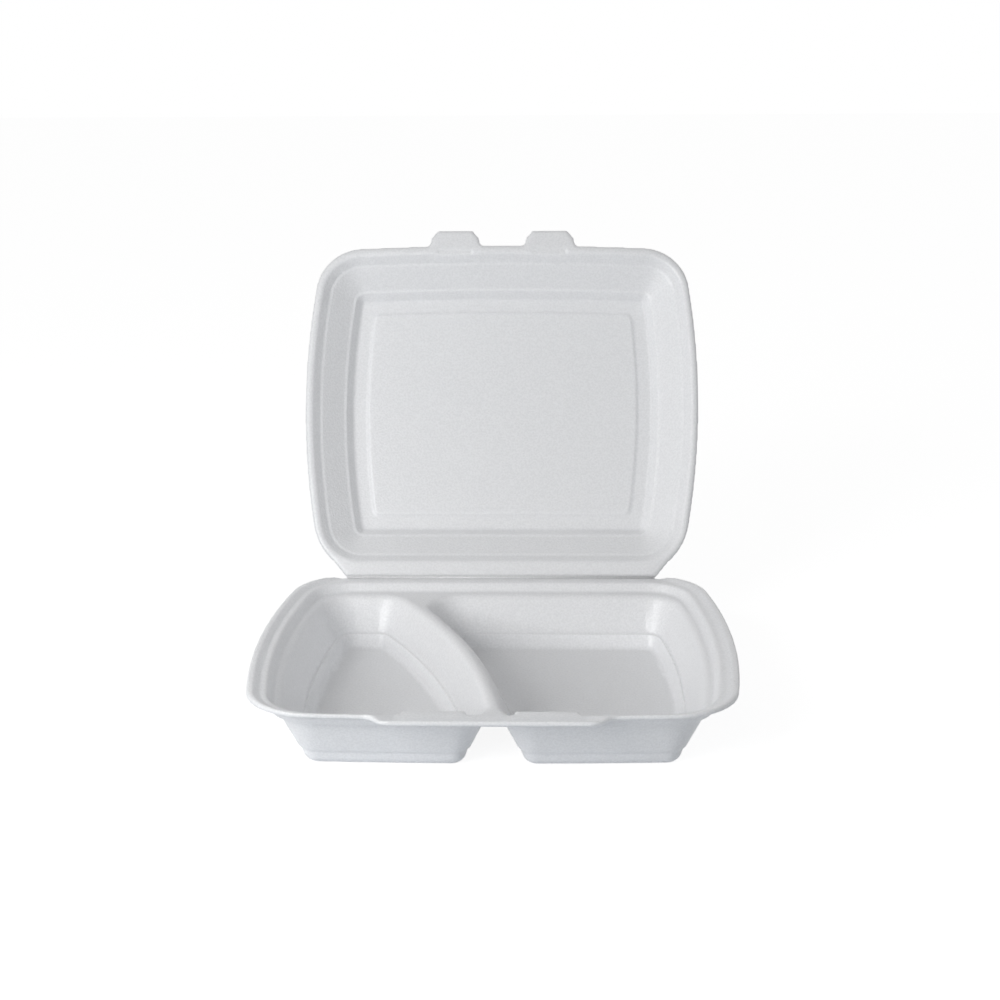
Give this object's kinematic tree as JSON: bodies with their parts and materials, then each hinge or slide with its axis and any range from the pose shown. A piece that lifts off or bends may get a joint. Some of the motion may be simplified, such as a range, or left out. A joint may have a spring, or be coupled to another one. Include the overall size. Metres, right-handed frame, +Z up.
{
  "type": "foam clamshell container",
  "caption": "Shallow white foam meal box, open, with a divided tray, a raised curved ridge, a stepped rim and a hinged lid with locking tabs.",
  "frame": {"origin": "bottom centre of the open box's bounding box, on the plane that the feet stand on", "axes": "+Z up, +Y from the tray's front lip towards the hinge, +X to the right seen from the front"},
  "size_m": [0.24, 0.3084, 0.2137],
  "materials": {
    "foam": "satin"
  },
  "bodies": {
    "tray": {"tray": "foam"},
    "lid": {"lid": "foam"}
  },
  "joints": [
    {"name": "lid_hinge", "type": "hinge", "parent": "tray", "child": "lid", "pos_m": [0, 0.05409, 0.0335], "axis": [-1, 0, 0], "range_deg": [-118.7, 61.3]}
  ]
}
